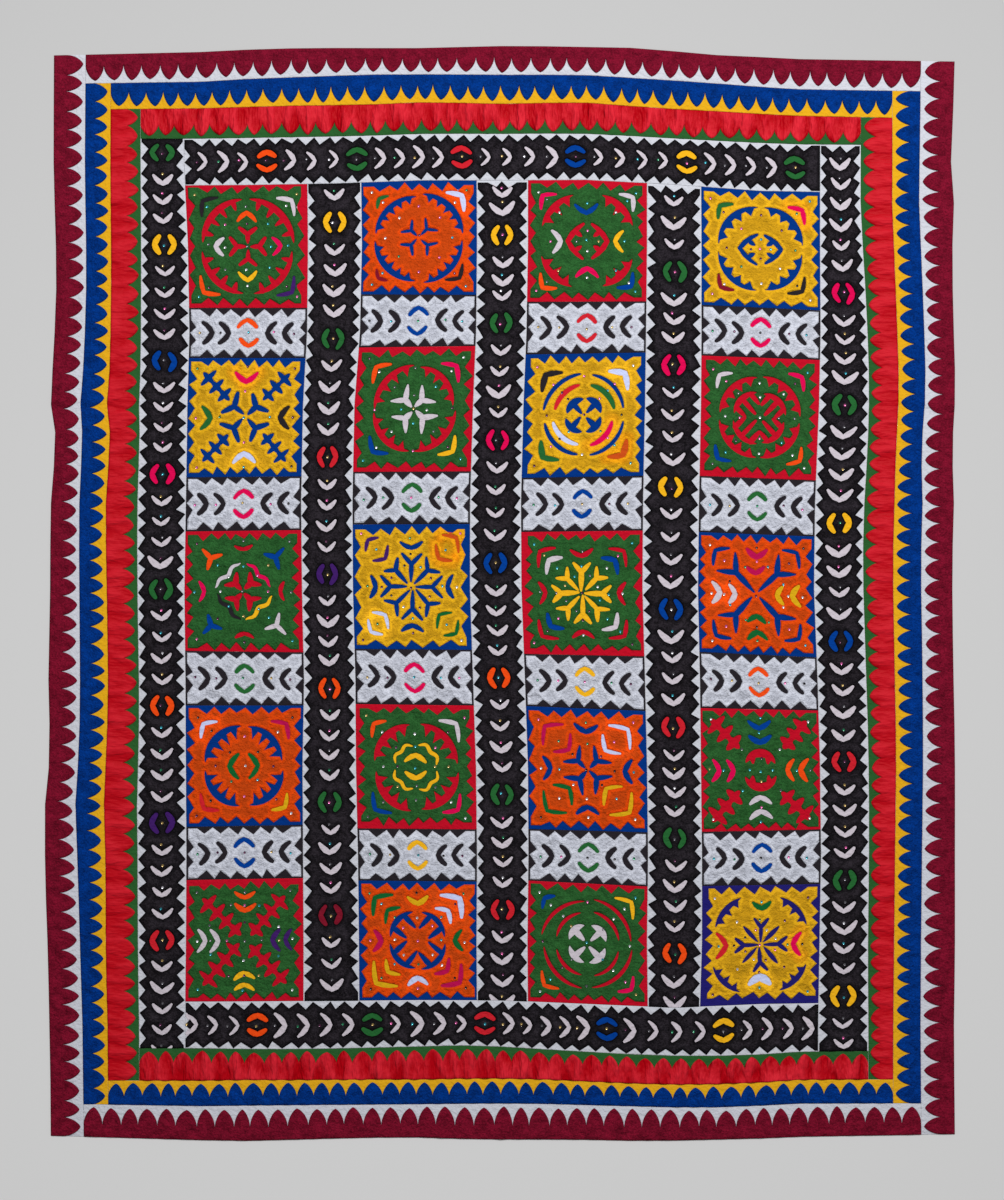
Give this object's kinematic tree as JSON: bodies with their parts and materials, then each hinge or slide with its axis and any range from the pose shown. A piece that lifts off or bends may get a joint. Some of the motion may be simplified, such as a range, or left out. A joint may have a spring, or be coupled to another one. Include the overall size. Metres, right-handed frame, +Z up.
{
  "type": "ralli quilt",
  "caption": "Rectangular cutwork ralli quilt lying flat: nested scalloped borders, black bands, and columns of square blocks parted by white bars.",
  "frame": {"origin": "middle of the quilt's outline, on the surface it lies on", "axes": "+X to the quilt's right as it is looked down on, +Y towards its head, +Z up out of its patterned face"},
  "size_m": [1.82, 2.1896, 0.0055],
  "materials": {
    "maroon_cloth": "matt cotton",
    "blue_cloth": "matt cotton",
    "red_cloth": "soft satin sheen",
    "green_cloth": "matt cotton",
    "orange_cloth": "matt cotton",
    "yellow_cloth": "matt cotton",
    "black_cloth": "matt cotton",
    "white_cloth": "matt cotton"
  },
  "bodies": {
    "root": {"maroon_strip_left": "maroon_cloth", "maroon_strip_right": "maroon_cloth", "maroon_strip_top": "maroon_cloth", "maroon_strip_bottom": "maroon_cloth", "blue_strip_left": "blue_cloth", "blue_strip_right": "blue_cloth", "blue_strip_top": "blue_cloth", "blue_strip_bottom": "blue_cloth", "red_strip_left": "red_cloth", "red_strip_right": "red_cloth", "red_strip_top": "red_cloth", "red_strip_bottom": "red_cloth", "black_band_1": "black_cloth", "black_band_2": "black_cloth", "black_band_3": "black_cloth", "black_band_4": "black_cloth", "black_band_5": "black_cloth", "black_band_top": "black_cloth", "black_band_bottom": "black_cloth", "block_r1_c1": "green_cloth", "block_r2_c1": "yellow_cloth", "block_r3_c1": "green_cloth", "block_r4_c1": "orange_cloth", "block_r5_c1": "green_cloth", "white_bar_r1_c1": "white_cloth", "white_bar_r2_c1": "white_cloth", "white_bar_r3_c1": "white_cloth", "white_bar_r4_c1": "white_cloth", "block_r1_c2": "orange_cloth", "block_r2_c2": "green_cloth", "block_r3_c2": "yellow_cloth", "block_r4_c2": "green_cloth", "block_r5_c2": "orange_cloth", "white_bar_r1_c2": "white_cloth", "white_bar_r2_c2": "white_cloth", "white_bar_r3_c2": "white_cloth", "white_bar_r4_c2": "white_cloth", "block_r1_c3": "green_cloth", "block_r2_c3": "yellow_cloth", "block_r3_c3": "green_cloth", "block_r4_c3": "orange_cloth", "block_r5_c3": "green_cloth", "white_bar_r1_c3": "white_cloth", "white_bar_r2_c3": "white_cloth", "white_bar_r3_c3": "white_cloth", "white_bar_r4_c3": "white_cloth", "block_r1_c4": "yellow_cloth", "block_r2_c4": "green_cloth", "block_r3_c4": "orange_cloth", "block_r4_c4": "green_cloth", "block_r5_c4": "yellow_cloth", "white_bar_r1_c4": "white_cloth", "white_bar_r2_c4": "white_cloth", "white_bar_r3_c4": "white_cloth", "white_bar_r4_c4": "white_cloth"}
  },
  "joints": []
}
